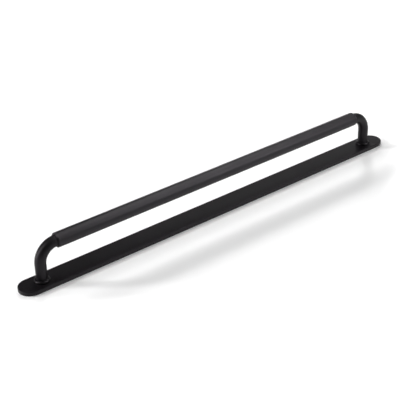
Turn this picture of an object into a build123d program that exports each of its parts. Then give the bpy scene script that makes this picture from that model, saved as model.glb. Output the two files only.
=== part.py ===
from build123d import *
import os

# Bar handle with a backplate, in millimetres.
# X runs along the plate, +Z points away from the door, and the origin is the middle of the plate's back face.

# Backplate
hole_spacing = 320.0  # between the screw centres, which are also the leg centres
plate_overhang = 18.5  # from a screw centre to the end of the plate
plate_width = 18.7
plate_thickness = 3.0
plate_edge_round = 0.4
screw_hole_diameter = 4.5  # clearance for an M4 screw

# Legs, bent from round rod
leg_diameter = 8.3
bend_radius = 13.5  # to the rod's axis
grip_rise = 27.0  # from the plate's face up to the grip's axis
thread_core_diameter = 3.3  # tapping size of M4
thread_depth = 11.0

# Grip
grip_diameter = 11.0
grip_end_chamfer = 0.7
socket_depth = 14.0  # how far each leg runs into the grip
socket_clearance = 0.05  # on the radius, filled with adhesive

# Foot collars
collar_wall = 1.55  # from the bore out to the rim
collar_height = 2.1  # at the bore, the highest point of the coned top
collar_rim_height = 1.7  # where the coned top would meet the outer wall
collar_rim_round = 1.3
collar_clearance = 0.05  # on the radius

plate_length = hole_spacing + 2 * plate_overhang
grip_length = hole_spacing - 2 * bend_radius
grip_axis_height = plate_thickness + grip_rise
socket_floor = grip_length / 2 - socket_depth
sides = {"left": -1, "right": 1}

os.makedirs("parts", exist_ok=True)

# Backplate: a flat bar with half-round ends and a screw hole below each leg
with BuildPart() as backplate:
    with BuildSketch():
        SlotOverall(plate_length, plate_width)
    extrude(amount=plate_thickness)
    fillet(backplate.faces().sort_by(Axis.Z)[-1].edges(), plate_edge_round)
    with Locations(backplate.faces().sort_by(Axis.Z)[-1]):
        with GridLocations(hole_spacing, 0, 2, 1):
            Hole(screw_hole_diameter / 2)
backplate.part.label = "backplate"
export_step(backplate.part, "parts/backplate.step")

# Grip: a round bar that fills the straight run between the bends, with a socket in each end
with BuildPart() as grip:
    with BuildSketch(Plane.YZ.offset(-grip_length / 2)):
        with Locations((0, grip_axis_height)):
            Circle(grip_diameter / 2)
    extrude(amount=grip_length)
    end_faces = grip.faces().filter_by(GeomType.PLANE)
    chamfer(end_faces.edges(), grip_end_chamfer)
    with Locations(*grip.faces().filter_by(GeomType.PLANE)):
        Hole(leg_diameter / 2 + socket_clearance, depth=socket_depth)
grip.part.label = "grip"
export_step(grip.part, "parts/grip.step")

for side_name, side in sides.items():
    leg_x = side * hole_spacing / 2

    # Leg: straight up from the plate, one quarter bend, then into the grip's socket
    with BuildPart() as leg:
        with BuildLine(Plane.XZ) as rod_axis:
            FilletPolyline(
                (leg_x, plate_thickness),
                (leg_x, grip_axis_height),
                (side * socket_floor, grip_axis_height),
                radius=bend_radius,
            )
        with BuildSketch(Plane((leg_x, 0, plate_thickness), x_dir=(-side, 0, 0), z_dir=(0, 0, 1))):
            Circle(leg_diameter / 2)
        sweep(path=rod_axis.line)
        with Locations(leg.faces().sort_by(Axis.Z)[0]):
            Hole(thread_core_diameter / 2, depth=thread_depth)
    leg.part.label = f"{side_name}_leg"
    export_step(leg.part, f"parts/{side_name}_leg.step")

    # Foot collar: a turned ring with a coned top and a rounded rim, seated on the plate round the leg
    with BuildPart() as collar:
        with BuildSketch(Plane((leg_x, 0, plate_thickness), x_dir=(1, 0, 0), z_dir=(0, -1, 0))) as section:
            with Locations((leg_diameter / 2 + collar_clearance, 0)):
                Polygon(
                    (0, 0),
                    (collar_wall, 0),
                    (collar_wall, collar_rim_height),
                    (0, collar_height),
                    align=None,
                )
            fillet(section.vertices().group_by(Axis.X)[-1].sort_by(Axis.Y)[-1], collar_rim_round)
        revolve(axis=Axis((leg_x, 0, 0), (0, 0, 1)))
    collar.part.label = f"{side_name}_foot_collar"
    export_step(collar.part, f"parts/{side_name}_foot_collar.step")
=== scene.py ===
import math
import bpy
from mathutils import Matrix, Vector

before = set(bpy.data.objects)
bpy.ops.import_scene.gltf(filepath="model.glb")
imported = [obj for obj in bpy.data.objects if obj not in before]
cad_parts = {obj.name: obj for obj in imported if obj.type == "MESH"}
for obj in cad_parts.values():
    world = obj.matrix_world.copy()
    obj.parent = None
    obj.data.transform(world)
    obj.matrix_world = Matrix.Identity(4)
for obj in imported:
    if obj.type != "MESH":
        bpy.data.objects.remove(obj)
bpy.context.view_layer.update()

# Bar handle with a backplate: satin black coating on every piece, on a white floor.
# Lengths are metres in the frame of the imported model, and angles are degrees.

scene = bpy.context.scene
white = (1.0, 1.0, 1.0, 1.0)
print("frame loaded:", ", ".join(sorted(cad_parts)))


def compass(azimuth, elevation):
    # unit vector towards a place: azimuth 0 is in front (-Y), 90 is at the right end (+X)
    around = math.radians(azimuth)
    above = math.radians(elevation)
    level = math.cos(above)
    return Vector((math.sin(around) * level, -math.cos(around) * level, math.sin(above)))


# Node helpers, each giving its output socket

def maths(tree, operation, first, second=0.0):
    # first and second are sockets or numbers
    node = tree.nodes.new("ShaderNodeMath")
    node.operation = operation
    for socket, value in zip(node.inputs, (first, second)):
        if isinstance(value, float):
            socket.default_value = value
        else:
            tree.links.new(value, socket)
    return node.outputs["Value"]


def noise(tree, vector, size, detail):
    node = tree.nodes.new("ShaderNodeTexNoise")
    node.inputs["Scale"].default_value = 1 / size
    node.inputs["Detail"].default_value = detail
    tree.links.new(vector, node.inputs["Vector"])
    return node.outputs["Fac"]


def mapSpan(tree, value, source, target, interpolation="LINEAR"):
    # carries the span source over to the span target
    node = tree.nodes.new("ShaderNodeMapRange")
    node.interpolation_type = interpolation
    ends = ("From Min", "From Max", "To Min", "To Max")
    for end, number in zip(ends, (*source, *target)):
        node.inputs[end].default_value = number
    tree.links.new(value, node.inputs["Value"])
    return node.outputs["Result"]


# Finishes

coating = {  # the same on every piece
    "tint": (0.985, 0.922, 1.0),  # a trace of violet in the black's reflections
    "dark": (0.0047, 0.0040, 0.0048),
    "patchDetail": 3.0,
    "patchSpan": (0.3, 0.7),  # values of the patches between which the gloss changes
    "grainDetail": 2.0,
}
plateFinish = {
    "light": (0.0077, 0.0066, 0.0079),
    "specular": 0.20,
    "roughness": (0.40, 0.45),
    "patch": 0.030,  # size of the slow changes in gloss
    "grain": 0.00045,  # size of the coating's orange peel
    "grainHeight": 0.000004,
    "stretch": (1.0, 1.0, 1.0),
}
gripFinish = {
    "light": (0.0082, 0.0070, 0.0084),
    "specular": 0.35,
    "roughness": (0.39, 0.45),
    "patch": 0.025,
    "grain": 0.00030,
    "grainHeight": 0.000003,
    "stretch": (0.03, 1.0, 1.0),  # drawn along the bar, so its marks are long in X
}
legFinish = {
    "light": (0.0080, 0.0068, 0.0082),
    "specular": 0.25,
    "roughness": (0.40, 0.45),
    "patch": 0.012,
    "grain": 0.00035,
    "grainHeight": 0.000003,
    "stretch": (1.0, 1.0, 1.0),
}
collarFinish = {
    "light": (0.0080, 0.0068, 0.0082),
    "specular": 0.25,
    "roughness": (0.38, 0.44),
    "patch": 0.006,
    "grain": 0.00030,
    "grainHeight": 0.000003,
    "stretch": (1.0, 1.0, 1.0),
}


def blackCoating(name, finish):
    material = bpy.data.materials.new(name)
    material.use_nodes = True
    tree = material.node_tree
    nodes = tree.nodes
    links = tree.links
    shader = nodes["Principled BSDF"]
    shader.inputs["Specular IOR Level"].default_value = finish["specular"]
    shader.inputs["Specular Tint"].default_value = (*coating["tint"], 1.0)
    place = nodes.new("ShaderNodeTexCoord").outputs["Object"]

    # slow changes in depth of colour and in gloss
    patches = noise(tree, place, finish["patch"], coating["patchDetail"])
    tone = nodes.new("ShaderNodeMix")
    tone.data_type = "RGBA"
    tone.inputs["A"].default_value = (*coating["dark"], 1.0)
    tone.inputs["B"].default_value = (*finish["light"], 1.0)
    links.new(patches, tone.inputs["Factor"])
    links.new(tone.outputs["Result"], shader.inputs["Base Color"])
    gloss = mapSpan(tree, patches, coating["patchSpan"], finish["roughness"])
    links.new(gloss, shader.inputs["Roughness"])

    # fine orange peel
    stretched = nodes.new("ShaderNodeMapping")
    stretched.inputs["Scale"].default_value = finish["stretch"]
    links.new(place, stretched.inputs["Vector"])
    grain = noise(tree, stretched.outputs["Vector"], finish["grain"], coating["grainDetail"])
    bump = nodes.new("ShaderNodeBump")
    bump.inputs["Distance"].default_value = finish["grainHeight"]
    links.new(grain, bump.inputs["Height"])
    links.new(bump.outputs["Normal"], shader.inputs["Normal"])
    return material


def dress(nodeName, material):
    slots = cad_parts[nodeName].data.materials
    slots.clear()
    slots.append(material)


dress("backplate", blackCoating("plate_black", plateFinish))
dress("grip", blackCoating("grip_black", gripFinish))
legBlack = blackCoating("leg_black", legFinish)
collarBlack = blackCoating("collar_black", collarFinish)
for side in ("left", "right"):
    dress(f"{side}_leg", legBlack)
    dress(f"{side}_foot_collar", collarBlack)
print("finishes on", len(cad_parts), "nodes")


# Floor

floorPlan = {
    "half": 6.0,  # half the side of the square
    "drop": 0.00005,  # below the plate's back face
    "colour": (0.9, 0.9, 0.9),
    "painted_glow": (0.13, 0.48),  # painted light added for the eye, near the handle and away from it; its rise away from the handle whitens the far ends of the suns' shadows
    "middle": 0.006,  # in X, where the reach of the glow starts
    "slope": 1.2,  # how much more a length to the front counts than one along X
    "fade": (0.185, 0.220),  # reach from the middle over which the glow grows
    "mirrored": 1.0,  # what reflections see: plain white
}


def whiteFloor():
    material = bpy.data.materials.new("white_floor")
    material.use_nodes = True
    tree = material.node_tree
    nodes = tree.nodes
    links = tree.links
    shader = nodes["Principled BSDF"]
    shader.inputs["Base Color"].default_value = (*floorPlan["colour"], 1.0)
    shader.inputs["Roughness"].default_value = 1.0
    shader.inputs["Specular IOR Level"].default_value = 0.0
    shader.inputs["Emission Color"].default_value = white
    path = nodes.new("ShaderNodeLightPath")

    # the eye sees a glow that grows with the reach from the handle's middle: painted light that whitens
    # the far ends of the suns' shadows on the floor
    axes = nodes.new("ShaderNodeSeparateXYZ")
    links.new(nodes.new("ShaderNodeTexCoord").outputs["Object"], axes.inputs["Vector"])
    along = maths(tree, "ABSOLUTE", maths(tree, "SUBTRACT", axes.outputs["X"], floorPlan["middle"]))
    forward = maths(tree, "MAXIMUM", maths(tree, "MULTIPLY", axes.outputs["Y"], -floorPlan["slope"]))
    reach = maths(tree, "ADD", along, forward)
    painted_glow = mapSpan(tree, reach, floorPlan["fade"], floorPlan["painted_glow"], "SMOOTHSTEP")
    seen = maths(tree, "MULTIPLY", painted_glow, path.outputs["Is Camera Ray"])
    links.new(seen, shader.inputs["Emission Strength"])

    # reflections see plain white
    mirrored = maths(tree, "MAXIMUM", path.outputs["Is Glossy Ray"], path.outputs["Is Transmission Ray"])
    plain = nodes.new("ShaderNodeEmission")
    plain.inputs["Color"].default_value = white
    plain.inputs["Strength"].default_value = floorPlan["mirrored"]
    either = nodes.new("ShaderNodeMixShader")
    links.new(mirrored, either.inputs["Fac"])
    links.new(shader.outputs["BSDF"], either.inputs[1])
    links.new(plain.outputs["Emission"], either.inputs[2])
    links.new(either.outputs["Shader"], nodes["Material Output"].inputs["Surface"])
    return material


def layFloor():
    # a level square with its middle below the handle's
    half = floorPlan["half"]
    z = -floorPlan["drop"]
    corners = [(-half, -half, z), (half, -half, z), (half, half, z), (-half, half, z)]
    mesh = bpy.data.meshes.new("floor")
    mesh.from_pydata(corners, [], [(0, 1, 2, 3)])
    mesh.materials.append(whiteFloor())
    floor = bpy.data.objects.new("floor", mesh)
    scene.collection.objects.link(floor)


layFloor()
print("floor laid")


# Light

softboxes = {  # flat lamps that show as reflections in the coating
    "front_right": {"azimuth": 38, "elevation": 26, "size": (0.30, 0.65), "radiance": 8.1},
    "right_high": {"azimuth": 60, "elevation": 56, "size": (0.30, 0.67), "radiance": 6.0},
    "right_strip": {"azimuth": 113, "elevation": 54, "size": (0.70, 0.20), "radiance": 6.9},
    "right_back_high": {"azimuth": 133, "elevation": 72, "size": (0.60, 0.60), "radiance": 1.6},
    "right_back_low": {"azimuth": 132, "elevation": 9, "size": (0.90, 0.16), "radiance": 2.5},
    "left": {"azimuth": 255, "elevation": 36, "size": (0.48, 0.87), "radiance": 4.85},
    "left_low": {"azimuth": 241, "elevation": 6, "size": (0.20, 0.40), "radiance": 18.0},
}
softboxDistance = 1.2
suns = {  # parallel light, where level is how bright the sun makes the open floor
    "back_left": {"azimuth": 228, "elevation": 22, "angle": 7, "level": 0.19},
    "back_right": {"azimuth": 142, "elevation": 28, "angle": 7, "level": 0.135},
    "back_left_high": {"azimuth": 226, "elevation": 50, "angle": 14, "level": 0.13},
    "back_high": {"azimuth": 176, "elevation": 45, "angle": 42, "level": 0.12},
    "right_low": {"azimuth": 138, "elevation": 8, "angle": 15, "level": 0.066},
    "overhead": {"azimuth": 180, "elevation": 84, "angle": 8, "level": 0.26},
}
studioGrey = 0.02  # the dark room that the coating sees above the floor


def hangLamp(name, lamp, towards, distance=0.0):
    # in that direction from the origin, shining back at it
    holder = bpy.data.objects.new(name, lamp)
    scene.collection.objects.link(holder)
    holder.rotation_mode = "QUATERNION"
    holder.rotation_quaternion = towards.to_track_quat("Z", "Y")
    holder.location = towards * distance
    return holder


def hangSoftbox(name, box):
    width, height = box["size"]
    lamp = bpy.data.lights.new(name, "AREA")
    lamp.shape = "RECTANGLE"
    lamp.size = width
    lamp.size_y = height
    lamp.energy = box["radiance"] * math.pi * width * height
    holder = hangLamp(name, lamp, compass(box["azimuth"], box["elevation"]), softboxDistance)
    holder.visible_camera = False
    holder.visible_diffuse = False  # it leaves the floor and its shadow to the suns


def hangSun(name, sun):
    towards = compass(sun["azimuth"], sun["elevation"])
    lamp = bpy.data.lights.new(name, "SUN")
    lamp.angle = math.radians(sun["angle"])
    lamp.energy = sun["level"] * math.pi / (towards.z * floorPlan["colour"][0])
    holder = hangLamp(name, lamp, towards)
    holder.visible_glossy = False  # it leaves the reflections to the softboxes


def darkStudio():
    # dark for the coating, and white past the floor's edge for the eye
    world = bpy.data.worlds.new("studio")
    world.use_nodes = True
    tree = world.node_tree
    background = tree.nodes["Background"]
    background.inputs["Color"].default_value = white
    path = tree.nodes.new("ShaderNodeLightPath")
    brightness = maths(tree, "MAXIMUM", path.outputs["Is Camera Ray"], studioGrey)
    tree.links.new(brightness, background.inputs["Strength"])
    scene.world = world


for name, box in softboxes.items():
    hangSoftbox(name, box)
for name, sun in suns.items():
    hangSun(name, sun)
darkStudio()
scene.view_settings.view_transform = "Standard"
print("lamps:", len(softboxes) + len(suns))


# Camera

shot = {
    "azimuth": -38.342,
    "elevation": 29.170,
    "roll": -1.747,
    "distance": 0.832768,
    "aim": (-0.022514, -0.005600, 0.018),
    "focal": 1107.006,  # in pixels of the frame below
    "frame": 400,
    "sensor": 36.0,  # millimetres
    "near": 0.01,
}


def standCamera():
    out = compass(shot["azimuth"], shot["elevation"])
    level = Vector((0, 0, 1)).cross(out).normalized()
    upright = out.cross(level)
    turn = math.radians(shot["roll"])
    right = level * math.cos(turn) + upright * math.sin(turn)
    up = upright * math.cos(turn) - level * math.sin(turn)
    camera = bpy.data.cameras.new("camera")
    camera.sensor_width = shot["sensor"]
    camera.lens = shot["focal"] / shot["frame"] * shot["sensor"]
    camera.clip_start = shot["near"]
    holder = bpy.data.objects.new("camera", camera)
    scene.collection.objects.link(holder)
    place = Matrix((right, up, out)).transposed().to_4x4()
    place.translation = Vector(shot["aim"]) + out * shot["distance"]
    holder.matrix_world = place
    scene.camera = holder


standCamera()
print("camera placed")
